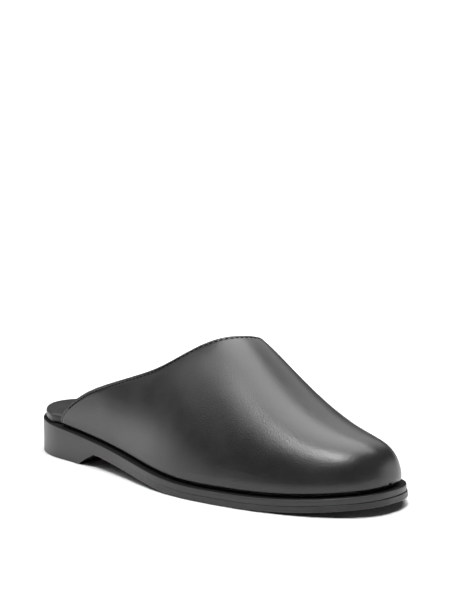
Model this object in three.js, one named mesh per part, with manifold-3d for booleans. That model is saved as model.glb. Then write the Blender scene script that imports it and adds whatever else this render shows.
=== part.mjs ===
// Closed-toe mule with an open heel, right shoe: one-piece upper, padded footbed, welt round the
// forefoot, outsole and low block heel. Millimetres.
// While it is shaped, x runs from the back of the heel to the toe tip, y toward the big toe's side
// and z up from the floor. The finished group's origin is the middle of its bounding box, at z 0.

import * as THREE from 'three';
import { mergeVertices } from 'three/addons/utils/BufferGeometryUtils.js';
import Module from 'manifold-3d';

// ---- Driving sizes

const LENGTH = 292;            // sole, heel to toe tip
const TOE_SWING = 12;          // the toe tip lies this far to the big toe's side of the heel
const HEEL_ROUND = 43;         // length of the rounded heel end of the sole's outline
const HEEL_FULLNESS = 2.1;     // exponent of that end: 2 is an ellipse, more is squarer
const TOE_ROUND = 78;          // length of the rounded toe end
const TOE_FULLNESS = 2.4;
const SOLE_EDGE = 8.4;         // thickness of the sole, welt included
const TOE_THINNING = 1;        // it loses this much by the toe tip
const GAP = 0.3;               // clearance between pieces that meet

const WELT_START = 122;        // the welt runs round the toe from here, on both sides
const WELT_WIDTH = 11.5;
const WELT_THICK = 3.8;

const HEEL_FRONT_FLOOR = 65.5; // the heel block's front face leans: its place at the floor
const HEEL_FRONT_TOP = 83.5;   // and its place under the outsole

const UPPER_WALL = 2.3;
const UPPER_INSET = 2.5;       // widest part of the upper, inside the sole's edge
const TUCK = 2.0;              // how far the upper turns in again where it meets the sole
const TUCK_HEIGHT = 9;
const TUCK_TOE_CENTRE = 70;    // round the toe the tuck pulls toward a point this far from the tip
const TOE_CAP_LENGTH = 39;     // length over which the top line of the toe falls to the sole
const TOE_CAP_FULLNESS = 2.6;

const FOOTBED_INSET = 7;       // footbed's side, inside the sole's edge, where the upper covers it
const FOOTBED_HEEL_FLARE = 5;  // it is this much wider at the bare heel
const FLARE_FROM = 39;         // the flare starts behind the upper's rear ends
const FLARE_TO = 28;

const SIDE = { outer: -1, inner: 1 };
const MIDDLE_STEPS = 18;       // stations along the sole between its rounded ends
const END_STEPS = 11;          // stations round each end
const UPPER_STEPS = 26;        // from topline to toe
const UPPER_RIBS = 40;         // from the outer sole edge over the foot to the inner one

// ---- Tables: `at` is a share of the length from the heel

// Half widths of the sole, each side of its centreline: heel back, heel seat, waist, joint, ball,
// toes and toe tip.
const outlineRows = [
  { at: 0.00, outer: 32, inner: 34 },
  { at: 0.15, outer: 35, inner: 35 },
  { at: 0.38, outer: 42, inner: 34 },
  { at: 0.52, outer: 50, inner: 41 },
  { at: 0.67, outer: 53, inner: 53 },
  { at: 0.82, outer: 50, inner: 51 },
  { at: 1.00, outer: 43, inner: 42 },
];

// Height of the outsole's underside: heel, breast, waist, both ends of the tread, toes and tip.
const profileRows = [
  { at: 0.00, under: 16.5 },
  { at: 0.25, under: 10.5 },
  { at: 0.50, under: 2.5 },
  { at: 0.60, under: 0.0 },
  { at: 0.70, under: 0.0 },
  { at: 0.85, under: 1.5 },
  { at: 1.00, under: 6.0 },
];

// Thickness of the footbed: a pad at the heel that thins out under the toes.
const footbedRows = [
  { at: 0.00, thick: 6.5 },
  { at: 0.18, thick: 6.5 },
  { at: 0.45, thick: 5.0 },
  { at: 1.00, thick: 3.5 },
];

// Height of the upper's top line, the ridge over the instep and toes. Behind the throat it is
// the line that the open quarters would reach.
const ridgeRows = [
  { at: 0.05, height: 88 },
  { at: 0.30, height: 92 },
  { at: 0.45, height: 95 },
  { at: 0.60, height: 96 },
  { at: 0.66, height: 84.5 },
  { at: 0.74, height: 67 },
  { at: 0.83, height: 51.5 },
  { at: 0.92, height: 44 },
  { at: 1.00, height: 48 },
];

// The ridge's shift toward the inner side.
const ridgeShiftRows = [
  { at: 0.30, shift: 2 },
  { at: 0.55, shift: 10 },
  { at: 0.80, shift: -2 },
  { at: 1.00, shift: 1 },
];

// How square the upper's cross-sections are: 2 is an ellipse.
const sectionRows = [
  { at: 0.20, sides: 2.1, crown: 1.45 },
  { at: 0.62, sides: 2.2, crown: 1.80 },
  { at: 0.95, sides: 2.3, crown: 1.85 },
];

// The topline: place along the shoe, and turn round the section in degrees. A turn of 0 is the
// outer edge of the sole, 90 the ridge and 180 the inner edge. Both sides share their first rows.
const toplineSideRows = [
  { x: 40, turn: 0 },
  { x: 43, turn: 13 },
  { x: 58, turn: 27 },
  { x: 82, turn: 36 },
  { x: 115, turn: 45 },
];
const throatRows = [
  { x: 150, turn: 57 },
  { x: 168, turn: 70 },
  { x: 178, turn: 86 },
  { x: 179, turn: 102 },
  { x: 171, turn: 115 },
  { x: 144, turn: 129 },
];

// ---- Curves through the tables

const clamp = (value, low, high) => Math.min(Math.max(value, low), high);
const smoothstep = (value) => value * value * (3 - 2 * value);

// Rises from 0 at half the length to 1 at the toe tip.
const toeShare = (x) => smoothstep(clamp(2 * x / LENGTH - 1, 0, 1));

// Second derivatives of the natural cubic through the points, by elimination.
function naturalBends(xs, ys) {
  const last = xs.length - 1;
  const ratio = [0];
  const part = [0];
  for (let i = 1; i < last; i += 1) {
    const before = xs[i] - xs[i - 1];
    const after = xs[i + 1] - xs[i];
    const turn = (ys[i + 1] - ys[i]) / after - (ys[i] - ys[i - 1]) / before;
    const pivot = 2 * (before + after) - before * ratio[i - 1];
    ratio.push(after / pivot);
    part.push((6 * turn - before * part[i - 1]) / pivot);
  }
  const bends = new Array(last + 1).fill(0);
  for (let i = last - 1; i > 0; i -= 1) bends[i] = part[i] - ratio[i] * bends[i + 1];
  return bends;
}

// A smooth function through the points, flat beyond both ends.
function smoothThrough(xs, ys) {
  const bends = naturalBends(xs, ys);
  return (value) => {
    const x = clamp(value, xs[0], xs[xs.length - 1]);
    let i = 0;
    while (i < xs.length - 2 && x > xs[i + 1]) i += 1;
    const span = xs[i + 1] - xs[i];
    const b = (x - xs[i]) / span;
    const a = 1 - b;
    const bend = (a ** 3 - a) * bends[i] + (b ** 3 - b) * bends[i + 1];
    return a * ys[i] + b * ys[i + 1] + bend * span * span / 6;
  };
}

const column = (rows, name) => smoothThrough(
  rows.map((row) => row.at * LENGTH),
  rows.map((row) => row[name]),
);

const halfOuter = column(outlineRows, 'outer');
const halfInner = column(outlineRows, 'inner');
const underside = column(profileRows, 'under');
const edgeTop = (x) => underside(x) + SOLE_EDGE - TOE_THINNING * toeShare(x);
const tread = (x) => Math.max(0, underside(x));
const footbedThick = column(footbedRows, 'thick');
const ridgeHeight = column(ridgeRows, 'height');
const ridgeShift = column(ridgeShiftRows, 'shift');
const sideSquareness = column(sectionRows, 'sides');
const crownSquareness = column(sectionRows, 'crown');

// The centreline is straight to mid foot, and then swings toward the big toe.
const centre = (x) => TOE_SWING * toeShare(x);

// Falls from 1 to 0 as share goes from 0 to 1, along a superellipse.
const roundOff = (share, fullness) => (1 - clamp(share, 0, 1) ** fullness) ** (1 / fullness);

// Half width of the sole's outline, drawn in by an inset.
function halfWidth(x, side, inset) {
  const full = side === SIDE.outer ? halfOuter(x) : halfInner(x);
  const heel = roundOff((HEEL_ROUND - x) / (HEEL_ROUND - inset), HEEL_FULLNESS);
  const toe = roundOff((x - LENGTH + TOE_ROUND) / (TOE_ROUND - inset), TOE_FULLNESS);
  return (full - inset) * heel * toe;
}

// Stations are close together where the ends round off.
const endSteps = Array.from({ length: END_STEPS + 1 }, (_, i) => i / END_STEPS * Math.PI / 2);
const heelStations = (inset) => endSteps.map(
  (angle) => HEEL_ROUND - (HEEL_ROUND - inset) * Math.cos(angle) ** (2 / HEEL_FULLNESS),
);
const toeStations = (inset) => endSteps.map(
  (angle) => LENGTH - TOE_ROUND + (TOE_ROUND - inset) * Math.sin(angle) ** (2 / TOE_FULLNESS),
);
const between = (from, to, steps) => Array.from(
  { length: steps - 1 },
  (_, i) => from + (to - from) * (i + 1) / steps,
);
const soleStations = (inset) => [
  ...heelStations(inset),
  ...between(HEEL_ROUND, LENGTH - TOE_ROUND, MIDDLE_STEPS),
  ...toeStations(inset),
];

// ---- Solids

// One closed mesh from points and quads. Quads that have shrunk to a line or point are dropped.
function closedGeometry(points, quads) {
  const loose = new THREE.BufferGeometry();
  loose.setAttribute('position', new THREE.Float32BufferAttribute(points.flat(), 3));
  loose.setIndex(quads.flatMap(([a, b, c, d]) => [a, b, c, a, c, d]));
  const merged = mergeVertices(loose, 1e-4);
  const index = merged.getIndex().array;
  const kept = [];
  for (let i = 0; i < index.length; i += 3) {
    const [a, b, c] = index.slice(i, i + 3);
    if (a !== b && b !== c && c !== a) kept.push(a, b, c);
  }
  merged.setIndex(kept);
  return merged;
}

// A loft through rings of equal, even count, each ring counter-clockwise seen against the travel.
// Its ends are closed by ladders, each rung joining a ring's point to the one opposite.
function loft(rings) {
  const count = rings[0].length;
  const quads = [];
  for (let r = 0; r + 1 < rings.length; r += 1) {
    for (let i = 0; i < count; i += 1) {
      const next = (i + 1) % count;
      quads.push([r * count + i, r * count + next, (r + 1) * count + next, (r + 1) * count + i]);
    }
  }
  const last = (rings.length - 1) * count;
  for (let i = 0; i + 1 < count / 2; i += 1) {
    const rung = [i, i + 1, count - 2 - i, count - 1 - i];
    quads.push([...rung].reverse());
    quads.push(rung.map((corner) => last + corner));
  }
  return closedGeometry(rings.flat(), quads);
}

// A plate across the whole shoe. Each layer has its own stations, inset and height, from the
// lowest to the highest, and all layers have as many stations as each other.
function plate(layers) {
  const count = layers[0].stations.length;
  const rings = Array.from({ length: count }, (_, i) => {
    const corner = (layer, side) => {
      const x = layer.stations[i];
      const y = centre(x) + side * halfWidth(x, side, layer.inset(x));
      return [x, y, layer.height(x)];
    };
    return [
      ...layers.map((layer) => corner(layer, SIDE.inner)),
      ...[...layers].reverse().map((layer) => corner(layer, SIDE.outer)),
    ];
  });
  return loft(rings);
}

// A strip that follows the sole's edge round the toe, from one side of the waist to the other.
function edgeStrip(start, outset, width, low, high) {
  const stations = (inset) => [
    start,
    ...between(start, LENGTH - TOE_ROUND, MIDDLE_STEPS),
    ...toeStations(inset),
  ];
  const outside = stations(-outset);
  const inside = stations(width);
  const ring = (i, side) => {
    const point = (x, inset, height) => [x, centre(x) + side * halfWidth(x, side, inset), height(x)];
    return [
      point(inside[i], width, low),
      point(inside[i], width, high),
      point(outside[i], -outset, high),
      point(outside[i], -outset, low),
    ];
  };
  const order = outside.map((_, i) => i);
  return loft([
    ...order.map((i) => ring(i, SIDE.outer)),
    ...order.slice(0, -1).reverse().map((i) => ring(i, SIDE.inner)),
  ]);
}

// ---- Boolean cut

const wasm = await Module();
wasm.setup();

function solid(geometry) {
  return new wasm.Manifold(new wasm.Mesh({
    numProp: 3,
    vertProperties: new Float32Array(geometry.getAttribute('position').array),
    triVerts: new Uint32Array(geometry.getIndex().array),
  }));
}

function cut(body, tool) {
  const mesh = solid(body).subtract(solid(tool)).getMesh();
  const geometry = new THREE.BufferGeometry();
  geometry.setAttribute('position', new THREE.BufferAttribute(mesh.vertProperties, 3));
  geometry.setIndex(new THREE.BufferAttribute(mesh.triVerts, 1));
  return geometry;
}

// ---- Sub-parts

// Outsole: full outline, arch and toe spring, with a rebate along the edge for the welt.
function outsole() {
  const stations = soleStations(0);
  const inset = () => 0;
  const body = plate([
    { stations, inset, height: tread },
    { stations, inset, height: edgeTop },
  ]);
  const rebateFloor = (x) => edgeTop(x) - WELT_THICK - GAP;
  const clearAbove = (x) => edgeTop(x) + WELT_THICK;
  const rebate = edgeStrip(WELT_START - GAP, 2, WELT_WIDTH + GAP, rebateFloor, clearAbove);
  return cut(body, rebate);
}

// Welt: a flat strip in the outsole's rebate, flush with the sole's edge and top.
function welt() {
  return edgeStrip(WELT_START, 0, WELT_WIDTH, (x) => edgeTop(x) - WELT_THICK, edgeTop);
}

// Heel: a block under the back of the outsole, with a front face that leans forward as it rises.
function heel() {
  const layer = (front, height) => ({
    stations: [...heelStations(0), ...between(HEEL_ROUND, front, 3), front],
    inset: () => 0,
    height,
  });
  return plate([
    layer(HEEL_FRONT_FLOOR, () => 0),
    layer(HEEL_FRONT_TOP, (x) => tread(x) - GAP),
  ]);
}

// Footbed: a pad with rounded edges, wider at the bare heel than between the upper's walls.
function insole() {
  const flare = (x) => FOOTBED_HEEL_FLARE
    * smoothstep(clamp((FLARE_FROM - x) / (FLARE_FROM - FLARE_TO), 0, 1));
  const seat = (x) => edgeTop(x) + GAP;
  const layer = (share, roundIn) => {
    const inset = (x) => FOOTBED_INSET + roundIn - flare(x);
    const heelInset = inset(0);
    const toeInset = inset(LENGTH);
    return {
      stations: [
        ...heelStations(heelInset),
        ...between(HEEL_ROUND, LENGTH - TOE_ROUND, MIDDLE_STEPS),
        ...toeStations(toeInset),
      ],
      inset: (x) => (x < HEEL_ROUND / 2 ? heelInset : inset(x)),
      height: (x) => seat(x) + share * footbedThick(x),
    };
  };
  return plate([
    layer(0.00, 1.0),
    layer(0.25, 0.3),
    layer(0.55, 0.0),
    layer(0.82, 0.4),
    layer(1.00, 1.7),
  ]);
}

// A point on the upper: x along the shoe, turn from 0 at the outer sole edge through 90 on the
// ridge to 180 at the inner edge, and depth into the wall from its outer face.
function upperPoint(x, turn, depth) {
  const side = turn <= 90 ? SIDE.outer : SIDE.inner;
  const angle = THREE.MathUtils.degToRad(Math.min(turn, 180 - turn));
  const tip = LENGTH - UPPER_INSET - depth;
  const along = Math.min(x, tip);
  const cap = roundOff((along - LENGTH + UPPER_INSET + TOE_CAP_LENGTH)
    / (TOE_CAP_LENGTH - depth), TOE_CAP_FULLNESS);
  const foot = edgeTop(along) + GAP;
  const rise = (ridgeHeight(along) - foot - depth) * cap;
  const half = halfWidth(along, side, UPPER_INSET + depth);
  const y = centre(along)
    + side * half * Math.cos(angle) ** (2 / sideSquareness(along))
    + ridgeShift(along) * cap * Math.sin(angle) ** 2;
  const lift = rise * Math.sin(angle) ** (2 / crownSquareness(along));
  const pullX = Math.min(along, LENGTH - TUCK_TOE_CENTRE);
  const toAxis = new THREE.Vector2(pullX - along, centre(pullX) - y).normalize();
  const tuck = TUCK * clamp(1 - lift / TUCK_HEIGHT, 0, 1) ** 2;
  return [along + toAxis.x * tuck, y + toAxis.y * tuck, foot + lift];
}

// The topline runs up the outer side, over the throat and down the inner side.
function topline() {
  const innerRows = toplineSideRows.map((row) => ({ x: row.x, turn: 180 - row.turn }));
  const rows = [...toplineSideRows, ...throatRows, ...innerRows.reverse()];
  const walk = [0];
  rows.slice(1).forEach((row, i) => {
    walk.push(walk[i] + Math.hypot(row.x - rows[i].x, row.turn - rows[i].turn));
  });
  const total = walk[walk.length - 1];
  const places = walk.map((value) => value / total);
  return {
    x: smoothThrough(places, rows.map((row) => row.x)),
    turn: smoothThrough(places, rows.map((row) => row.turn)),
  };
}

// Upper: one hollow wall, open at the heel and throat and underneath. Ribs start on the topline
// and meet at the toe tip, on the outer and on the inner face.
function upper() {
  const edge = topline();
  const rib = (share, depth) => {
    const start = edge.x(share);
    const turn = clamp(edge.turn(share), 0, 180);
    return Array.from({ length: UPPER_STEPS + 1 }, (_, i) => {
      const travel = Math.sin(i / UPPER_STEPS * Math.PI / 2);
      const end = LENGTH - UPPER_INSET - depth;
      return upperPoint(start + (end - start) * travel, i === UPPER_STEPS ? 0 : turn, depth);
    });
  };
  const rings = Array.from({ length: UPPER_RIBS + 1 }, (_, j) => {
    const share = j / UPPER_RIBS;
    return [...rib(share, 0), ...rib(share, UPPER_WALL).reverse()];
  });
  return loft(rings);
}

// ---- The shoe

const leather = (color, roughness) => new THREE.MeshStandardMaterial({ color, roughness, metalness: 0 });
const upperLeather = leather(0x232322, 0.38);
const footbedLeather = leather(0x2c2c2b, 0.45);
const edgeFinish = leather(0x1c1c1c, 0.5);

function piece(name, geometry, material) {
  const mesh = new THREE.Mesh(geometry, material);
  mesh.name = name;
  return mesh;
}

const shoe = new THREE.Group();
shoe.add(
  piece('upper', upper(), upperLeather),
  piece('insole', insole(), footbedLeather),
  piece('welt', welt(), edgeFinish),
  piece('outsole', outsole(), edgeFinish),
  piece('heel', heel(), edgeFinish),
);

const box = new THREE.Box3().setFromObject(shoe);
const middle = box.getCenter(new THREE.Vector3());
shoe.position.set(-middle.x, -middle.y, -box.min.z);
shoe.updateMatrixWorld(true);

export default shoe;
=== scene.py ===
"""Looks of a right-foot mule: leather upper, lining, stitching, footbed, welt, outsole and heel.

Shoe sizes are millimetres. While a piece is shaped, x runs from the back of the heel to the toe,
y toward the big toe's side and z up from the floor; shoe_to_frame then puts it in the frame.
"""

import math

import bmesh
import bpy
import numpy as np
from bpy.props import FloatProperty, FloatVectorProperty, PointerProperty
from mathutils import Matrix, Vector
from mathutils.bvhtree import BVHTree


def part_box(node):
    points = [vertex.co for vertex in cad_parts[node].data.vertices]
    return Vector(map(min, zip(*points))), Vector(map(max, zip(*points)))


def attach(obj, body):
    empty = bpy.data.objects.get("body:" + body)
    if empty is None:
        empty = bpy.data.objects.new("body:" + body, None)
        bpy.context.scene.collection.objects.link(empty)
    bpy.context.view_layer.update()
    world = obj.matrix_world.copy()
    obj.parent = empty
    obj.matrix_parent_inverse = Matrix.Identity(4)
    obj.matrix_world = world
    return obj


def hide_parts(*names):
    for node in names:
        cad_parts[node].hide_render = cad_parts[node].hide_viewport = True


bl_info = {
    "name": "Closed-toe mule",
    "version": (1, 0, 0),
    "blender": (4, 5, 0),
    "location": "View3D > Sidebar > Mule",
    "description": "Builds the looks of a right-foot leather mule around its frame",
    "category": "Object",
}

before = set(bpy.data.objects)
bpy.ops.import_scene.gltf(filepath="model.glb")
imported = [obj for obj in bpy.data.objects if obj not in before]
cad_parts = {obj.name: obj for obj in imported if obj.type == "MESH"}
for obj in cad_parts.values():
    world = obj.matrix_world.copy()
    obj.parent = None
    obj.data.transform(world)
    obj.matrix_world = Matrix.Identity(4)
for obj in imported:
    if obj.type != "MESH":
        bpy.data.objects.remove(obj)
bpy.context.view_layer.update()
SOLE_LOW, SOLE_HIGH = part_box("outsole")
HEEL_LOW, HEEL_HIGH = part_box("heel")
WELT_LOW, WELT_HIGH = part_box("welt")

MM = 0.001
LENGTH = (SOLE_HIGH.x - SOLE_LOW.x) / MM
WELT_START = (WELT_LOW.x - SOLE_LOW.x) / MM
HEEL_FRONT_TOP = (HEEL_HIGH.x - SOLE_LOW.x) / MM
HEEL_LEAN = 18                 # the heel's front face leans forward by this much
HEEL_FRONT_FLOOR = HEEL_FRONT_TOP - HEEL_LEAN
OUTER, INNER = -1, 1

# ---- Sizes of the shoe's form, as in the frame

TOE_SWING = 12
HEEL_ROUND, HEEL_FULLNESS = 43, 2.1
TOE_ROUND, TOE_FULLNESS = 78, 2.4
SOLE_EDGE = 8.4
TOE_THINNING = 1
UPPER_INSET = 2.5
TUCK, TUCK_HEIGHT, TUCK_TOE_CENTRE = 1.2, 9, 70
UNDERCUT, UNDERCUT_FROM, UNDERCUT_TO = 2.6, 1.5, 2.7   # depth, and heights where it ends
TOE_CAP_LENGTH, TOE_CAP_FULLNESS = 39, 2.6
UPPER_CLEARANCE = 0.25
WELT_WIDTH, WELT_THICK, WELT_GAP = 11.5, 3.8, 0.05
FOOTBED_INSET, FOOTBED_HEEL_FLARE, FOOTBED_GAP = 7, 5, 0.3
FLARE_FROM, FLARE_TO = 39, 28

# In the tables, `at` is a share of the length from the heel.

# Half widths of the sole at heel back, heel seat, waist, joint, ball, toes and toe tip.
OUTLINE = (
    # at, outer, inner
    (0.00, 32, 34),
    (0.15, 35, 35),
    (0.38, 42, 34),
    (0.52, 50, 41),
    (0.67, 53, 53),
    (0.82, 50, 51),
    (1.00, 43, 42),
)

# Height of the outsole's underside: heel, breast, waist, both ends of the tread, toes, tip.
PROFILE = (
    # at, under
    (0.00, 16.5),
    (0.25, 10.5),
    (0.50, 2.5),
    (0.60, 0.0),
    (0.70, 0.0),
    (0.85, 1.5),
    (1.00, 6.0),
)

# Footbed thickness: heel, heel front, waist, toes.
FOOTBED = (
    # at, thick
    (0.00, 6.5),
    (0.18, 6.5),
    (0.45, 5.0),
    (1.00, 3.5),
)

# Height of the ridge over quarters, instep, throat, vamp and toes.
RIDGE = (
    # at, height
    (0.05, 88),
    (0.30, 92),
    (0.45, 95),
    (0.60, 96),
    (0.66, 84.5),
    (0.74, 67),
    (0.83, 51.5),
    (0.92, 44),
    (1.00, 48),
)

# The ridge's shift toward the inner side.
RIDGE_SHIFT = (
    # at, shift
    (0.30, 2),
    (0.55, 10),
    (0.80, -2),
    (1.00, 1),
)

# Squareness of the upper's sections at heel, instep and toes: 2 is an ellipse.
SECTION = (
    # at, sides, crown
    (0.20, 2.1, 1.45),
    (0.62, 2.2, 1.80),
    (0.95, 2.3, 1.85),
)

# The topline: place along the shoe and turn round the section. A turn of 0 is the outer edge of
# the sole, 90 the ridge and 180 the inner edge. Both sides share their first rows.
TOPLINE_SIDE = (
    # x, turn
    (40, 0),
    (43, 13),
    (58, 27),
    (82, 36),
    (115, 45),
)
THROAT = (
    # x, turn
    (150, 57),
    (168, 70),
    (178, 86),
    (179, 102),
    (171, 115),
    (144, 129),
)


# ---- Curves through the tables


def smooth_through(places, values):
    """A natural cubic through the points, held level beyond both ends."""
    places, values = np.array(places, float), np.array(values, float)
    spans = np.diff(places)
    slopes = np.diff(values) / spans
    count = len(places)
    system, right = np.eye(count), np.zeros(count)
    for i in range(1, count - 1):
        system[i, i - 1 : i + 2] = spans[i - 1], 2 * (spans[i - 1] + spans[i]), spans[i]
        right[i] = 6 * (slopes[i] - slopes[i - 1])
    bends = np.linalg.solve(system, right)

    def at(x):
        x = np.clip(x, places[0], places[-1])
        i = np.clip(np.searchsorted(places, x, side="right") - 1, 0, count - 2)
        b = (x - places[i]) / spans[i]
        a = 1 - b
        bend = (a**3 - a) * bends[i] + (b**3 - b) * bends[i + 1]
        return a * values[i] + b * values[i + 1] + bend * spans[i] ** 2 / 6

    return at


def column(table, number):
    """One column of a table whose first column is a share of the length."""
    return smooth_through([row[0] * LENGTH for row in table], [row[number] for row in table])


half_outer, half_inner = column(OUTLINE, 1), column(OUTLINE, 2)
underside = column(PROFILE, 1)
footbed_thick = column(FOOTBED, 1)
ridge_height, ridge_shift = column(RIDGE, 1), column(RIDGE_SHIFT, 1)
side_squareness, crown_squareness = column(SECTION, 1), column(SECTION, 2)


def smoothstep(value, low=0.0, high=1.0):
    """Rises from 0 at low to 1 at high, level at both ends."""
    share = np.clip((np.asarray(value, float) - low) / (high - low), 0, 1)
    return share * share * (3 - 2 * share)


def tread(x):
    """Height of the outsole's underside, which the floor flattens."""
    return np.maximum(0, underside(x))


def toe_share(x):
    """Rises from 0 at half the length to 1 at the toe tip."""
    return smoothstep(x, LENGTH / 2, LENGTH)


def edge_top(x):
    """Height of the top of the sole's edge."""
    return underside(x) + SOLE_EDGE - TOE_THINNING * toe_share(x)


def centre(x):
    """The shoe's middle line, which swings toward the big toe."""
    return TOE_SWING * toe_share(x)


def round_off(share, fullness):
    """Falls from 1 to 0 along a superellipse."""
    return (1 - np.clip(share, 0, 1) ** fullness) ** (1 / fullness)


def half_width(x, side, inset):
    """Half width of the sole's outline on one side, drawn in by an inset."""
    full = np.where(np.asarray(side) == OUTER, half_outer(x), half_inner(x))
    heel = round_off((HEEL_ROUND - x) / (HEEL_ROUND - inset), HEEL_FULLNESS)
    toe = round_off((x - LENGTH + TOE_ROUND) / (TOE_ROUND - inset), TOE_FULLNESS)
    return (full - inset) * heel * toe


def heel_stations(inset, steps):
    """Places along the heel's round end, close together where it turns most."""
    angle = np.linspace(0, math.pi / 2, steps + 1)
    return HEEL_ROUND - (HEEL_ROUND - inset) * np.cos(angle) ** (2 / HEEL_FULLNESS)


def toe_stations(inset, steps):
    """Places along the toe's round end, close together where it turns most."""
    angle = np.linspace(0, math.pi / 2, steps + 1)
    return LENGTH - TOE_ROUND + (TOE_ROUND - inset) * np.sin(angle) ** (2 / TOE_FULLNESS)


def upper_point(x, turn, depth=0.0):
    """Points on the upper: x along the shoe, turn round the section, depth into the wall."""
    x, turn = np.broadcast_arrays(np.asarray(x, float), np.asarray(turn, float))
    side = np.where(turn <= 90, OUTER, INNER)
    angle = np.radians(np.minimum(turn, 180 - turn))
    along = np.minimum(x, LENGTH - UPPER_INSET - depth)
    cap_share = (along - LENGTH + UPPER_INSET + TOE_CAP_LENGTH) / (TOE_CAP_LENGTH - depth)
    cap = round_off(cap_share, TOE_CAP_FULLNESS)
    foot = edge_top(along) + UPPER_CLEARANCE
    rise = (ridge_height(along) - foot - depth) * cap
    half = half_width(along, side, UPPER_INSET + depth)
    across = side * half * np.cos(angle) ** (2 / side_squareness(along))
    y = centre(along) + across + ridge_shift(along) * cap * np.sin(angle) ** 2
    lift = rise * np.sin(angle) ** (2 / crown_squareness(along))
    pull_x = np.minimum(along, LENGTH - TUCK_TOE_CENTRE)
    to_x, to_y = pull_x - along, centre(pull_x) - y
    reach = np.hypot(to_x, to_y) + 1e-9
    tuck = TUCK * np.clip(1 - lift / TUCK_HEIGHT, 0, 1) ** 2
    tuck = tuck + UNDERCUT * (1 - smoothstep(lift, UNDERCUT_FROM, UNDERCUT_TO))
    return np.stack([along + to_x / reach * tuck, y + to_y / reach * tuck, foot + lift], -1)


def topline_curves():
    """x and turn along the topline, from the outer rear end over the throat to the inner."""
    inner_side = [(x, 180 - turn) for x, turn in reversed(TOPLINE_SIDE)]
    rows = np.array([*TOPLINE_SIDE, *THROAT, *inner_side])
    walk = np.concatenate([[0], np.cumsum(np.hypot(*np.diff(rows, axis=0).T))])
    walk /= walk[-1]
    return smooth_through(walk, rows[:, 0]), smooth_through(walk, rows[:, 1])


topline_x, topline_turn = topline_curves()


# ---- Meshes

SHARP = math.radians(50)       # edges that turn more than this stay crisp
FLAT = 0.9                     # a face whose normal stands this upright is a flat side
SAME_PLACE = 2e-7


def outer_reach():
    """The sole's lowest y in the shoe's own sizes."""
    along = np.concatenate([
        np.linspace(HEEL_ROUND, LENGTH - TOE_ROUND, 400), toe_stations(0, 400),
    ])
    return float(np.min(centre(along) - half_width(along, OUTER, 0)))


AXIS_Y = SOLE_LOW.y - outer_reach() * MM


def shoe_to_frame(points):
    """Shoe millimetres to frame metres."""
    points = np.asarray(points, float) * MM
    return points + np.array([SOLE_LOW.x, AXIS_Y, 0.0])


def table_mesh(table):
    """A bmesh grid whose vertices take the places in a table of rows, columns and x, y, z."""
    rows, columns = table.shape[0] - 1, table.shape[1] - 1
    bm = bmesh.new()
    bmesh.ops.create_grid(bm, x_segments=columns, y_segments=rows, size=0.5)
    placed = shoe_to_frame(table)
    for vert in bm.verts:
        i = round((vert.co.x + 0.5) * columns)
        k = round((vert.co.y + 0.5) * rows)
        vert.co = placed[k, i]
    bmesh.ops.remove_doubles(bm, verts=bm.verts, dist=SAME_PLACE)
    bmesh.ops.recalc_face_normals(bm, faces=bm.faces)
    return bm


def finished(name, bm, material, replaced=(), flat_material=None):
    """Makes the object from a bmesh, hangs it on the root body and hides the parts of model.glb
    that it replaces.
    """
    mesh = bpy.data.meshes.new(name)
    bm.normal_update()
    for face in bm.faces:
        face.smooth = True
        if flat_material and abs(face.normal.z) > FLAT:
            face.material_index = 1
    bm.to_mesh(mesh)
    bm.free()
    mesh.set_sharp_from_angle(angle=SHARP)
    piece = bpy.data.objects.new(name, mesh)
    bpy.context.scene.collection.objects.link(piece)
    mesh.materials.append(material)
    if flat_material:
        mesh.materials.append(flat_material)
    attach(piece, "root")
    if replaced:
        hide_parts(*replaced)
    return piece


# ---- Materials


class Wire:
    """A number in a shader. Arithmetic on it adds Math nodes."""

    def __init__(self, finish, socket):
        self.finish, self.socket = finish, socket

    def math(self, operation, first, second):
        node = self.finish.node("ShaderNodeMath", {"operation": operation}, {0: first, 1: second})
        return Wire(self.finish, node.outputs[0])

    def __add__(self, other):
        return self.math("ADD", self, other)

    def __radd__(self, other):
        return self.math("ADD", other, self)

    def __mul__(self, other):
        return self.math("MULTIPLY", self, other)

    def __rmul__(self, other):
        return self.math("MULTIPLY", other, self)


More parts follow.
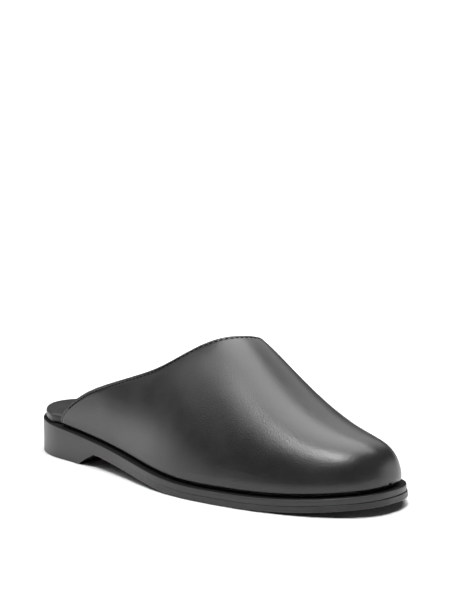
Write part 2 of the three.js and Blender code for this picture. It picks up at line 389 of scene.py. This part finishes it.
class Finish:
    """A material's node tree with its surface shader."""

    def __init__(self, name):
        self.material = bpy.data.materials.new(name)
        self.material.use_nodes = True
        self.tree = self.material.node_tree
        self.tree.nodes.clear()
        self.surface = self.node("ShaderNodeBsdfPrincipled")
        output = self.node("ShaderNodeOutputMaterial")
        self.tree.links.new(self.surface.outputs[0], output.inputs["Surface"])

    def node(self, kind, settings=None, inputs=None):
        """Adds a node: its settings first, then values or links for its sockets."""
        node = self.tree.nodes.new(kind)
        for key, value in (settings or {}).items():
            if key == "stops":
                self.set_stops(node.color_ramp, value)
            else:
                setattr(node, key, value)
        for key, value in (inputs or {}).items():
            self.feed(node.inputs[key], value)
        return node

    def feed(self, socket, value):
        """Links a socket to another, or sets its value."""
        if isinstance(value, Wire):
            value = value.socket
        if isinstance(value, bpy.types.NodeSocket):
            self.tree.links.new(value, socket)
        else:
            socket.default_value = value

    def set_stops(self, ramp, stops):
        """Gives a colour ramp its stops."""
        while len(ramp.elements) < len(stops):
            ramp.elements.new(0.5)
        for element, (position, colour) in zip(ramp.elements, stops):
            element.position = position
            element.color = colour

    def place(self, scale=(1, 1, 1)):
        """Object coordinates, stretched by a scale."""
        coordinates = self.node("ShaderNodeTexCoord").outputs["Object"]
        if scale == (1, 1, 1):
            return coordinates
        mapping = self.node("ShaderNodeMapping", {}, {"Vector": coordinates, "Scale": scale})
        return mapping.outputs[0]

    def noise(self, size, detail=2.0, scale=(1, 1, 1)):
        """Soft noise whose lumps are about size metres across."""
        inputs = {"Vector": self.place(scale), "Scale": 1 / size, "Detail": detail}
        return Wire(self, self.node("ShaderNodeTexNoise", {}, inputs).outputs[0])

    def cells(self, size):
        """Distances in a pattern of cells about size metres across."""
        inputs = {"Vector": self.place(), "Scale": 1 / size}
        return Wire(self, self.node("ShaderNodeTexVoronoi", {}, inputs).outputs[0])

    def ramp(self, factor, low, high):
        """A colour that runs from one stop to another. A stop is a place and a colour."""
        node = self.node("ShaderNodeValToRGB", {"stops": [low, high]}, {"Fac": factor})
        return node.outputs[0]

    def set(self, **values):
        """Feeds the surface shader's sockets, by name."""
        for name, value in values.items():
            self.feed(self.surface.inputs[name.replace("_", " ")], value)

    def bump(self, height, strength, distance):
        """Feeds the surface's normal from a height."""
        inputs = {"Height": height, "Strength": strength, "Distance": distance}
        self.feed(self.surface.inputs["Normal"], self.node("ShaderNodeBump", {}, inputs).outputs[0])


def rgba(colour, factor=1.0):
    """A colour with its alpha, made lighter or darker by a factor."""
    return (*(channel * factor for channel in colour), 1.0)


def leather(name, colour, roughness, grain=1.0):
    """Smooth dyed leather: grain cells, pores, faint creases and a cloudy polish."""
    finish = Finish(name)
    clouds = finish.noise(0.018, 4.0)
    tone = finish.ramp(clouds, (0.30, rgba(colour, 0.75)), (0.70, rgba(colour, 1.3)))
    pores = finish.cells(0.0008)
    fine = finish.noise(0.0006, 3.0)
    finish.set(Base_Color=tone, Roughness=roughness - 0.08 + 0.10 * clouds + 0.06 * fine)
    pull = finish.noise(0.007, 3.0)
    finish.bump(0.6 * pores + 0.8 * fine + 0.8 * pull, 0.24 * grain, 0.0003)
    return finish.material


def edge_ink(name, colour, roughness):
    """Inked and burnished edge: satin with faint streaks along the sole."""
    finish = Finish(name)
    streaks = finish.noise(0.0012, 3.0, (0.08, 0.08, 1.0))
    clouds = finish.noise(0.016, 2.0)
    tone = finish.ramp(clouds, (0.25, rgba(colour, 0.8)), (0.75, rgba(colour, 1.2)))
    finish.set(Base_Color=tone, Roughness=roughness - 0.06 + 0.12 * clouds)
    finish.bump(streaks, 0.10, 0.0002)
    return finish.material


def thread(name, colour):
    """Matt thread, with its twist left to the bump."""
    finish = Finish(name)
    finish.set(Base_Color=rgba(colour), Roughness=0.9, Specular_IOR_Level=0.1)
    finish.bump(finish.noise(0.0004, 1.0), 0.3, 0.0001)
    return finish.material


SOLE_GREY = (0.006, 0.006, 0.006)
SOLE_GREY_HIGH = (0.011, 0.011, 0.011)


def tread_side(name):
    """Matt, slightly rough, dark face of a sole, given to its faces that point straight up or down.
    """
    finish = Finish(name)
    clouds = finish.noise(0.012, 3.0)
    tone = finish.ramp(clouds, (0.3, rgba(SOLE_GREY)), (0.7, rgba(SOLE_GREY_HIGH)))
    finish.set(Base_Color=tone, Roughness=0.85 + 0.1 * clouds, Specular_IOR_Level=0.15)
    finish.bump(finish.noise(0.0008, 3.0), 0.3, 0.0003)
    return finish.material


# ---- Settings


class MuleUpperSettings(bpy.types.PropertyGroup):
    """Sizes and colours of the upper, its stitches and its lining."""

    leather_thickness: FloatProperty(
        name="Leather", description="Thickness of the outer leather", default=1.4 * MM,
        unit="LENGTH", precision=5,
    )
    lining_thickness: FloatProperty(
        name="Lining", description="Thickness of the lining", default=0.7 * MM,
        unit="LENGTH", precision=5,
    )
    stitch_margin: FloatProperty(
        name="Stitch margin", description="From the topline's edge to the stitches",
        default=2.1 * MM, unit="LENGTH", precision=5,
    )
    stitch_pitch: FloatProperty(
        name="Stitch pitch", description="From one stitch to the next", default=3.4 * MM,
        unit="LENGTH", precision=5,
    )
    thread_width: FloatProperty(
        name="Thread", description="Width of the thread", default=0.9 * MM,
        unit="LENGTH", precision=5,
    )
    colour: FloatVectorProperty(
        name="Leather colour", description="Dye of the upper", default=(0.012, 0.012, 0.012),
        subtype="COLOR", min=0, max=1,
    )
    lining_colour: FloatVectorProperty(
        name="Lining colour", description="Dye of the lining", default=(0.030, 0.030, 0.030),
        subtype="COLOR", min=0, max=1,
    )
    thread_colour: FloatVectorProperty(
        name="Thread colour", description="Dye of the thread", default=(0.004, 0.004, 0.004),
        subtype="COLOR", min=0, max=1,
    )


class MuleSoleSettings(bpy.types.PropertyGroup):
    """Finish of the sole and footbed."""

    edge_radius: FloatProperty(
        name="Edge radius", description="Rounding of the sole's edges", default=0.4 * MM,
        unit="LENGTH", precision=5,
    )
    colour: FloatVectorProperty(
        name="Edge colour", description="Ink on the sole's edge", default=(0.014, 0.014, 0.014),
        subtype="COLOR", min=0, max=1,
    )
    footbed_colour: FloatVectorProperty(
        name="Footbed colour", description="Dye of the footbed's cover",
        default=(0.022, 0.022, 0.022), subtype="COLOR", min=0, max=1,
    )


class MuleStageSettings(bpy.types.PropertyGroup):
    """Place and lens of the camera."""

    azimuth: FloatProperty(
        name="Azimuth", description="Camera's turn round the shoe", default=math.radians(43.4),
        subtype="ANGLE",
    )
    pitch: FloatProperty(
        name="Pitch", description="Camera's look downward", default=math.radians(5.8),
        subtype="ANGLE",
    )
    distance: FloatProperty(
        name="Distance", description="From the camera to the shoe", default=0.8, unit="LENGTH",
    )
    lens: FloatProperty(name="Lens", description="Focal length in millimetres", default=73.5)


class MuleSettings(bpy.types.PropertyGroup):
    """All settings of the mule."""

    upper: PointerProperty(type=MuleUpperSettings)
    sole: PointerProperty(type=MuleSoleSettings)
    stage: PointerProperty(type=MuleStageSettings)


# ---- Upper

RIBS = 280                         # from the outer sole edge over the foot to the inner one
RIB_CROWDING = 0.85                # ribs lie closer toward both ends, where the leather tucks in
NEAR_STEPS, NEAR_STEP = 24, 0.35   # short steps beside the topline, for its edge and groove
FAR_STEPS = 110
EDGE_ROLL, EDGE_DROP = 0.9, 0.30   # the leather rolls over toward the edge
GROOVE_WIDTH, GROOVE_DEPTH = 0.6, 0.38
NO_SINK = 1e-9                     # metres
LINING_RIBS, LINING_FAR_STEPS = 90, 60
LINING_NEAR_STEPS, LINING_NEAR_STEP = 4, 0.8
LINING_GAP, LINING_BACK = 0.05, 1.2    # behind the leather, and short of the topline
FOOT_MIDDLE = 0.7                  # a place inside the upper, as a share of the length


def rib_places(near_steps, near_step, far_steps, depth, start_back=0.0):
    """Travel along the ribs, from the topline to the toe tip, as a function of the rib's start."""
    near = np.arange(near_steps + 1) * near_step
    far = np.sin(np.linspace(0, math.pi / 2, far_steps + 1))[1:]

    def places(start):
        begin = start + start_back
        end = LENGTH - UPPER_INSET - depth
        rest = end - begin - near[-1]
        return np.concatenate([begin + near, begin + near[-1] + rest * far])

    return places


def upper_table(ribs, places, depth):
    """Points of a skin of the upper, ribs by travel."""
    even = np.linspace(0, 1, ribs + 1)
    shares = even - RIB_CROWDING * np.sin(2 * math.pi * even) / (2 * math.pi)
    rows = []
    for start, turn in zip(topline_x(shares), np.clip(topline_turn(shares), 0, 180)):
        x = places(start)
        turns = np.full_like(x, turn)
        turns[-1] = 0
        rows.append(upper_point(x, turns, depth))
    return np.array(rows)


def topline_points(count):
    """Points along the topline, in the frame."""
    shares = np.linspace(0, 1, count)
    turns = np.clip(topline_turn(shares), 0, 180)
    return shoe_to_frame(upper_point(topline_x(shares), turns))


def inside_upper(height):
    """A place in the hollow of the upper, at a height in millimetres."""
    x = LENGTH * FOOT_MIDDLE
    return Vector(shoe_to_frame((x, centre(x), height)))


def face_outward(bm):
    """Turns the open skin so that its faces point away from the foot."""
    middle = inside_upper(25.0)
    votes = sum(
        1 if face.normal.dot(face.calc_center_median() - middle) > 0 else -1
        for face in bm.faces
    )
    if votes < 0:
        bmesh.ops.reverse_faces(bm, faces=bm.faces)


def add_wall(piece, thickness):
    """Gives an open skin its thickness, inward."""
    wall = piece.modifiers.new("wall", "SOLIDIFY")
    wall.thickness = thickness
    wall.offset = -1


def distance_to_line(points, line):
    """Shortest distance of each point to a polyline."""
    start, step = line[:-1], np.diff(line, axis=0)
    best = np.full(len(points), np.inf)
    length = np.sum(step * step, axis=1)
    for a, ab, square in zip(start, step, length):
        share = np.clip((points - a) @ ab / square, 0, 1)
        gap = np.linalg.norm(points - a - share[:, None] * ab, axis=1)
        best = np.minimum(best, gap)
    return best


class MULE_OT_upper(bpy.types.Operator):
    """Makes the leather upper"""

    bl_idname = "mule.upper"
    bl_label = "Upper"

    def execute(self, context):
        settings = context.scene.mule.upper
        places = rib_places(NEAR_STEPS, NEAR_STEP, FAR_STEPS, 0.0)
        bm = table_mesh(upper_table(RIBS, places, 0.0))
        face_outward(bm)
        self.shape_edge(bm, settings.stitch_margin / MM)
        material = leather("upper_leather", settings.colour, 0.32)
        shell = finished("upper_leather", bm, material, ("upper",))
        add_wall(shell, settings.leather_thickness)
        return {"FINISHED"}

    def shape_edge(self, bm, margin):
        """Rolls the leather over at the topline and sinks the stitch line."""
        bm.normal_update()
        points = np.array([vert.co for vert in bm.verts]) / MM
        gap = distance_to_line(points, topline_points(500) / MM)
        roll = EDGE_DROP * np.clip(1 - gap / EDGE_ROLL, 0, 1) ** 2
        groove = GROOVE_DEPTH * np.exp(-(((gap - margin) / GROOVE_WIDTH) ** 2))
        for vert, sink in zip(bm.verts, (roll + groove) * MM):
            if sink > NO_SINK:
                vert.co -= vert.normal * sink


class MULE_OT_stitches(bpy.types.Operator):
    """Makes the row of stitches along the topline, each lying on the leather"""

    bl_idname = "mule.stitches"
    bl_label = "Stitches"

    END_MARGIN = 1.6 * MM
    SLANT = math.radians(6)
    LENGTH_SHARE = 0.38        # half of a stitch's length, as a share of the pitch
    LIFT_SHARE = 0.12          # its middle above the leather, as a share of the thread
    SEARCH_STEP = 5            # degrees round the topline, in the search for the leather
    CLEAR_SHARE = 0.9          # a spot nearer the topline than this share of the margin is its rim

    def execute(self, context):
        settings = context.scene.mule.upper
        shell = bpy.data.objects["upper_leather"]
        tree = BVHTree.FromObject(shell, context.evaluated_depsgraph_get())
        line = [Vector(point) for point in topline_points(1200)]
        walk = [0.0]
        for a, b in zip(line, line[1:]):
            walk.append(walk[-1] + (b - a).length)
        run = walk[-1] - 2 * self.END_MARGIN
        count = round(run / settings.stitch_pitch)
        pitch = run / count
        half_thread = settings.thread_width / 2
        shape = Matrix.Rotation(self.SLANT, 4, "Z") @ Matrix.Diagonal(
            (pitch * self.LENGTH_SHARE, half_thread, half_thread, 1)
        )
        bm = bmesh.new()
        for number in range(count):
            along = self.END_MARGIN + (number + 0.5) * pitch
            i = min(range(len(walk) - 2), key=lambda n: abs(walk[n] - along))
            tangent = (line[i + 1] - line[i]).normalized()
            spot, normal = self.beside(tree, line[i], tangent, settings.stitch_margin)
            side = normal.cross(tangent).normalized()
            turn = Matrix((tangent, side, normal)).transposed().to_4x4()
            lift = normal * settings.thread_width * self.LIFT_SHARE
            place = Matrix.Translation(spot + lift)
            bmesh.ops.create_uvsphere(
                bm, u_segments=8, v_segments=6, radius=1.0, matrix=place @ turn @ shape,
            )
        finished("topline_stitches", bm, thread("thread", settings.thread_colour))
        return {"FINISHED"}

    def beside(self, tree, place, tangent, margin):
        """The spot on the leather at the margin from the topline, and its normal."""
        inside = inside_upper(20.0)
        start = tangent.orthogonal().normalized()
        best = None
        for turn in range(0, 360, self.SEARCH_STEP):
            ray = Matrix.Rotation(math.radians(turn), 3, tangent) @ start
            spot, normal, _, gap = tree.find_nearest(place + ray * margin)
            outward = normal.dot(spot - inside) > 0
            clear = (spot - place).length > margin * self.CLEAR_SHARE
            if outward and clear and (best is None or gap < best[0]):
                best = (gap, spot, normal)
        if best is None:
            raise RuntimeError("no leather beside the topline")
        return best[1], best[2]


class MULE_OT_lining(bpy.types.Operator):
    """Makes the lining, a thinner skin inside the leather and a little short of the topline"""

    bl_idname = "mule.lining"
    bl_label = "Lining"

    def execute(self, context):
        settings = context.scene.mule.upper
        depth = settings.leather_thickness / MM + LINING_GAP
        places = rib_places(
            LINING_NEAR_STEPS, LINING_NEAR_STEP, LINING_FAR_STEPS, depth, LINING_BACK
        )
        bm = table_mesh(upper_table(LINING_RIBS, places, depth))
        face_outward(bm)
        material = leather("lining_leather", settings.lining_colour, 0.55, grain=1.4)
        lining = finished("upper_lining", bm, material)
        add_wall(lining, settings.lining_thickness)
        return {"FINISHED"}


# ---- Sole

END_STEPS, MIDDLE_STEPS = 44, 90
ACROSS = 16                    # steps across a flat face
WALL_SHARES = (0.1, 0.3, 0.5, 0.7, 0.9)
TOE_SPREAD = 1.1               # how far the foot of the wall stands out round the toe
SPREAD_FROM, SPREAD_TO, SPREAD_REACH = 225, 275, 40
SEAM_LIP = 0.25                # rounding on both sides of the seam between welt and outsole
SEAM_FROM, SEAM_TO = WELT_START + 25, WELT_START + 70
STEP_RUN = 0.02                # the outsole steps down to the welt over this length
BREAST_FADE = 6                # the outsole's lower edge turns round within this of the heel


def sole_stations(inset, marks=()):
    """Stations for one layer, heel to toe. Marks are extra places on the way."""
    middle = np.linspace(HEEL_ROUND, LENGTH - TOE_ROUND, MIDDLE_STEPS + 1)[1:-1]
    middle = np.sort(np.concatenate([middle, marks]))
    return np.concatenate([
        heel_stations(inset, END_STEPS), middle, toe_stations(inset, END_STEPS),
    ])


def plate_table(layers):
    """Rings round a plate at each station. A layer has stations, insets and heights."""
    count = len(layers[0][0])
    left, right = [], []
    for stations, inset, height in layers:
        for rows, side in ((left, OUTER), (right, INNER)):
            y = centre(stations) + side * half_width(stations, side, inset)
            rows.append(np.stack([stations, y, height * np.ones(count)], -1))
    shares = np.linspace(0, 1, ACROSS + 1)[1:-1, None, None]
    top = left[-1] + (right[-1] - left[-1]) * shares
    bottom = right[0] + (left[0] - right[0]) * shares
    rings = [*left, *top, *reversed(right), *bottom, left[0]]
    return np.array(rings)


def quarter(radius, steps=4):
    """Inset and rise of a rounded edge, from its wall to its flat face."""
    angles = np.linspace(0, math.pi / 2, steps + 1)
    return [(radius * (1 - math.cos(angle)), radius * math.sin(angle)) for angle in angles]


def seam_lip(x):
    """Rounding at the seam, which shows only round the forefoot."""
    return SEAM_LIP * smoothstep(x, SEAM_FROM, SEAM_TO)


def rounded_layers(stations, low, high, low_radius, high_radius):
    """Layers of a plate with rounded lower and upper edges."""
    xs = stations(0.0)
    base, top = low(xs) + low_radius(xs), high(xs) - high_radius(xs)
    layers = []
    for inset, rise in reversed(quarter(1.0)):
        layers.append((xs, inset * low_radius(xs), low(xs) + (1 - rise) * low_radius(xs)))
    for share in WALL_SHARES:
        layers.append((xs, 0.0, base + (top - base) * share))
    for inset, rise in quarter(1.0):
        layers.append((xs, inset * high_radius(xs), high(xs) - (1 - rise) * high_radius(xs)))
    return layers


class MULE_OT_outsole(bpy.types.Operator):
    """Makes the outsole with its rebate for the welt"""

    bl_idname = "mule.outsole"
    bl_label = "Outsole"

    def execute(self, context):
        settings = context.scene.mule.sole
        radius = settings.edge_radius / MM
        material = edge_ink("outsole_edge", settings.colour, 0.42)
        before_step = WELT_START - STEP_RUN / 2

        def stations(inset):
            return sole_stations(inset, (WELT_START - STEP_RUN, WELT_START))

        def rebate(x):
            return np.where(x < before_step, 0.0, WELT_THICK + WELT_GAP)

        def shoulder(x):
            return edge_top(x) - rebate(x)

        def lower_radius(x):
            return radius * smoothstep(x, HEEL_FRONT_TOP, HEEL_FRONT_TOP + BREAST_FADE)

        def upper_radius(x):
            return np.where(x < before_step, radius, seam_lip(x))

        layers = rounded_layers(stations, tread, shoulder, lower_radius, upper_radius)
        inside = WELT_WIDTH + 2 * WELT_GAP
        xs = stations(inside)
        layers.append((xs, inside, shoulder(xs)))
        layers.append((xs, inside, edge_top(xs)))
        bm = table_mesh(self.spread(plate_table(layers)))
        tread_face = tread_side("tread_side")
        finished("outsole_block", bm, material, ("outsole",), tread_face)
        return {"FINISHED"}

    def spread(self, table):
        """Moves the foot of the wall outward round the toe."""
        x, y, height = np.moveaxis(table, -1, 0)
        centre_x = np.minimum(x, LENGTH - TOE_ROUND)
        out_x, out_y = x - centre_x, y - centre(centre_x)
        reach = np.hypot(out_x, out_y) + 1e-9
        share = np.clip(1 - (height - tread(x)) / SOLE_EDGE, 0, 1)
        push = TOE_SPREAD * smoothstep(x, SPREAD_FROM, SPREAD_TO) * share
        push = push * np.clip(reach / SPREAD_REACH, 0, 1)
        return table + np.stack([out_x / reach * push, out_y / reach * push, 0 * x], -1)


class MULE_OT_heel(bpy.types.Operator):
    """Makes the heel block, flush under the outsole"""

    bl_idname = "mule.heel"
    bl_label = "Heel"

    FIRST_SHARE, WALL_STEPS, FRONT_STEPS = 0.08, 12, 14

    def execute(self, context):
        settings = context.scene.mule.sole
        material = edge_ink("heel_edge", settings.colour, 0.42)
        radius = settings.edge_radius / MM
        layers = []
        for inset, rise in reversed(quarter(radius)):
            stations = self.stations(HEEL_FRONT_FLOOR - inset, inset)
            layers.append((stations, inset, radius - rise))
        for share in np.linspace(self.FIRST_SHARE, 1.0, self.WALL_STEPS):
            stations = self.stations(HEEL_FRONT_FLOOR + HEEL_LEAN * share, 0.0)
            layers.append((stations, 0.0, radius + (tread(stations) - radius) * share))
        bm = table_mesh(plate_table(layers))
        self.close_front(bm)
        finished("heel_block", bm, material, ("heel",), tread_side("heel_tread"))
        return {"FINISHED"}

    def stations(self, front, inset):
        """Stations from the heel's back to its front face."""
        return np.concatenate([
            heel_stations(inset, END_STEPS), np.linspace(HEEL_ROUND, front, self.FRONT_STEPS)[1:],
        ])

    def close_front(self, bm):
        """Fills the open front end."""
        rim = [edge for edge in bm.edges if edge.is_boundary]
        bmesh.ops.contextual_create(bm, geom=rim)
        bmesh.ops.recalc_face_normals(bm, faces=bm.faces)


class MULE_OT_welt(bpy.types.Operator):
    """Makes the welt round the forefoot's edge"""

    bl_idname = "mule.welt"
    bl_label = "Welt"

    MID_WALL, WAIST_STEPS = 0.55, 50

    def execute(self, context):
        settings = context.scene.mule.sole
        material = edge_ink("welt_edge", settings.colour, 0.38)
        radius = settings.edge_radius / MM
        rings = [
            self.path(self.level(inset), inset, self.below_top(radius - rise))
            for inset, rise in quarter(radius)
        ]
        for depth in (0.0, WELT_THICK):
            rings.append(self.path(self.level(WELT_WIDTH), WELT_WIDTH, self.below_top(depth)))
        for inset, rise in reversed(quarter(1.0)):
            rings.append(self.path(self.lip(inset), 0.0, self.above_seam(1 - rise)))
        mid_wall = WELT_THICK * self.MID_WALL
        rings.append(self.path(self.level(0.0), 0.0, self.below_top(mid_wall)))
        rings.append(rings[0])
        bm = table_mesh(np.array(rings))
        for _ in range(2):
            rim = [edge for edge in bm.edges if edge.is_boundary]
            if rim:
                bmesh.ops.holes_fill(bm, edges=rim, sides=0)
        bmesh.ops.recalc_face_normals(bm, faces=bm.faces)
        finished("welt_strip", bm, material, ("welt",), tread_side("welt_top"))
        return {"FINISHED"}

    def level(self, inset):
        """The same inset all along."""
        return lambda x: inset

    def lip(self, share):
        """A share of the seam's rounding, as an inset."""
        return lambda x: share * seam_lip(x)

    def below_top(self, depth):
        """Heights at a depth below the welt's top."""
        return lambda x: edge_top(x) - depth

    def above_seam(self, share):
        """Heights above the seam, as a share of its rounding."""
        return lambda x: edge_top(x) - WELT_THICK + share * seam_lip(x)

    def path(self, inset, end_inset, height):
        """One line of the strip, from the outer side of the waist round the toe to the inner."""
        middle = np.linspace(WELT_START, LENGTH - TOE_ROUND, self.WAIST_STEPS)[:-1]
        stations = np.concatenate([middle, toe_stations(end_inset, END_STEPS)])
        lines = []
        for side in (OUTER, INNER):
            y = centre(stations) + side * half_width(stations, side, inset(stations))
            lines.append(np.stack([stations, y, height(stations)], -1))
        return np.concatenate([lines[0], lines[1][-2::-1]])


class MULE_OT_footbed(bpy.types.Operator):
    """Makes the padded footbed"""

    bl_idname = "mule.footbed"
    bl_label = "Footbed"

    def execute(self, context):
        settings = context.scene.mule.sole
        material = leather("footbed_leather", settings.footbed_colour, 0.42, grain=1.2)
        profile = (
            # share of the thickness, inward
            (0.00, 1.6),
            (0.04, 0.9),
            (0.10, 0.4),
            (0.20, 0.1),
            (0.35, 0.0),
            (0.60, 0.0),
            (0.76, 0.1),
            (0.87, 0.4),
            (0.94, 0.9),
            (0.98, 1.6),
            (1.00, 2.6),
            (1.00, 5.0),
        )
        layers = []
        for share, inward in profile:
            heel_inset = FOOTBED_INSET - FOOTBED_HEEL_FLARE + inward
            toe_inset = FOOTBED_INSET + inward
            stations = np.concatenate([
                heel_stations(heel_inset, END_STEPS),
                np.linspace(HEEL_ROUND, LENGTH - TOE_ROUND, MIDDLE_STEPS + 1)[1:-1],
                toe_stations(toe_inset, END_STEPS),
            ])
            flare = FOOTBED_HEEL_FLARE * (1 - smoothstep(stations, FLARE_TO, FLARE_FROM))
            inset = np.where(stations < HEEL_ROUND / 2, heel_inset, toe_inset - flare)
            seat = edge_top(stations) + FOOTBED_GAP
            layers.append((stations, inset, seat + share * footbed_thick(stations)))
        bm = table_mesh(plate_table(layers))
        footbed = finished("footbed_pad", bm, material, ("insole",))
        return {"FINISHED"}


# ---- Stage


STAGE_RADIUS, STAGE_SIDES = 4.0, 96
PAPER = (0.85, 0.85, 0.85)
FLOOR_GLOW, WALL_GLOW, FULL_GLOW = 0.06, 0.0, 0.3   # shares of the radius
AIM_RIGHT, AIM_UP = 0.016, 0.0845   # the camera looks above and beside the shoe's middle
AMBIENT = 0.06
MIDDLE = Vector((0, 0, 0.03))      # about the shoe's middle
SOFTBOXES = (
    # name, azimuth and elevation in degrees, distance, width, height, radiance
    ("key", -50, 60, 1.2, 0.18, 0.18, 80),
    ("top", 80, 74, 1.2, 1.1, 0.9, 5.5),
    ("top_left", -110, 68, 1.2, 1.0, 0.7, 3),
    ("left", -152, 0, 1.2, 1.0, 0.25, 2.6),
    ("left_fill", -140, 40, 1.2, 1.0, 0.6, 1.3),
    ("back", 108, 34, 1.3, 0.9, 0.6, 1.3),
    ("right", 45, 6, 1.3, 1.0, 0.25, 2),
)


class MULE_OT_stage(bpy.types.Operator):
    """Makes the floor, the backdrop, the lights and the camera"""

    bl_idname = "mule.stage"
    bl_label = "Stage"

    def execute(self, context):
        settings = context.scene.mule.stage
        self.floor()
        self.backdrop()
        self.lights()
        self.camera(context.scene, settings)
        context.scene.view_settings.view_transform = "Standard"
        return {"FINISHED"}

    def floor(self):
        """A pale floor."""
        bm = bmesh.new()
        bmesh.ops.create_circle(bm, cap_ends=True, segments=STAGE_SIDES, radius=STAGE_RADIUS)
        self.staged("floor", bm, self.paper("floor_paper", FLOOR_GLOW))

    def backdrop(self):
        """A white wall all round, which only the camera sees."""
        bm = bmesh.new()
        bmesh.ops.create_circle(bm, segments=STAGE_SIDES, radius=STAGE_RADIUS)
        top = bmesh.ops.extrude_edge_only(bm, edges=bm.edges[:])["geom"]
        raised = [item for item in top if isinstance(item, bmesh.types.BMVert)]
        bmesh.ops.translate(bm, verts=raised, vec=(0, 0, STAGE_RADIUS))
        wall = self.staged("backdrop", bm, self.paper("backdrop_paper", WALL_GLOW))
        wall.visible_diffuse = wall.visible_glossy = wall.visible_shadow = False

    def staged(self, name, bm, material):
        """Makes a part of the stage from a bmesh."""
        mesh = bpy.data.meshes.new(name)
        bm.to_mesh(mesh)
        bm.free()
        piece = bpy.data.objects.new(name, mesh)
        bpy.context.scene.collection.objects.link(piece)
        mesh.materials.append(material)
        return piece

    def paper(self, name, near):
        """Matt white paper that glows toward its far parts, so that no horizon shows."""
        finish = Finish(name)
        distance = finish.node(
            "ShaderNodeVectorMath", {"operation": "LENGTH"}, {0: finish.place()}
        ).outputs["Value"]
        share = Wire(finish, distance) * (1 / STAGE_RADIUS)
        glow = finish.ramp(share, (near, (0, 0, 0, 1)), (FULL_GLOW, (1, 1, 1, 1)))
        finish.set(Base_Color=rgba(PAPER), Roughness=0.9)
        finish.set(Emission_Color=glow, Emission_Strength=1.0)
        return finish.material

    def lights(self):
        """The softboxes, in a faintly lit world."""
        world = bpy.data.worlds.new("studio")
        bpy.context.scene.world = world
        world.use_nodes = True
        background = world.node_tree.nodes["Background"]
        background.inputs["Color"].default_value = (1, 1, 1, 1)
        background.inputs["Strength"].default_value = AMBIENT
        for row in SOFTBOXES:
            self.softbox(*row)

    def softbox(self, name, azimuth, elevation, distance, width, height, radiance):
        """A lit panel that faces the shoe from a direction and a distance."""
        turn, rise = math.radians(azimuth), math.radians(elevation)
        out = Vector((
            math.cos(turn) * math.cos(rise), math.sin(turn) * math.cos(rise), math.sin(rise),
        ))
        data = bpy.data.lights.new(name, "AREA")
        data.shape = "RECTANGLE"
        data.size, data.size_y = width, height
        data.energy = radiance * math.pi * width * height
        lamp = bpy.data.objects.new(name, data)
        turned = out.to_track_quat("Z", "Y").to_matrix().to_4x4()
        lamp.matrix_world = Matrix.Translation(out * distance + MIDDLE) @ turned
        lamp.visible_camera = False
        bpy.context.scene.collection.objects.link(lamp)

    def camera(self, scene, settings):
        """Looks down a little, from the toe's outer side."""
        turn, pitch = settings.azimuth, settings.pitch
        back = Vector((
            math.sin(turn) * math.cos(pitch), -math.cos(turn) * math.cos(pitch), math.sin(pitch),
        ))
        right = Vector((math.cos(turn), math.sin(turn), 0))
        up = back.cross(right)
        aim = MIDDLE + Vector((0, AXIS_Y, 0)) + right * AIM_RIGHT + up * AIM_UP
        data = bpy.data.cameras.new("camera")
        data.lens = settings.lens
        data.sensor_width = 36
        data.clip_end = 50
        camera = bpy.data.objects.new("camera", data)
        turned = Matrix((right, up, back)).transposed().to_4x4()
        camera.matrix_world = Matrix.Translation(aim + back * settings.distance) @ turned
        scene.collection.objects.link(camera)
        scene.camera = camera


class MULE_PT_pieces(bpy.types.Panel):
    """Lists the mule's pieces"""

    bl_idname = "MULE_PT_pieces"
    bl_label = "Mule"
    bl_space_type = "VIEW_3D"
    bl_region_type = "UI"
    bl_category = "Mule"

    def draw(self, context):
        for operator in OPERATORS:
            self.layout.operator(operator.bl_idname)


OPERATORS = (
    MULE_OT_upper,
    MULE_OT_stitches,
    MULE_OT_lining,
    MULE_OT_footbed,
    MULE_OT_welt,
    MULE_OT_outsole,
    MULE_OT_heel,
    MULE_OT_stage,
)
CLASSES = (
    MuleUpperSettings,
    MuleSoleSettings,
    MuleStageSettings,
    MuleSettings,
    *OPERATORS,
    MULE_PT_pieces,
)


def register():
    for cls in CLASSES:
        bpy.utils.register_class(cls)
    bpy.types.Scene.mule = PointerProperty(type=MuleSettings)


def unregister():
    del bpy.types.Scene.mule
    for cls in reversed(CLASSES):
        bpy.utils.unregister_class(cls)


def main():
    register()
    bpy.ops.mule.upper()
    bpy.ops.mule.stitches()
    bpy.ops.mule.lining()
    bpy.ops.mule.footbed()
    bpy.ops.mule.welt()
    bpy.ops.mule.outsole()
    bpy.ops.mule.heel()
    bpy.ops.mule.stage()


if __name__ == "__main__":
    main()
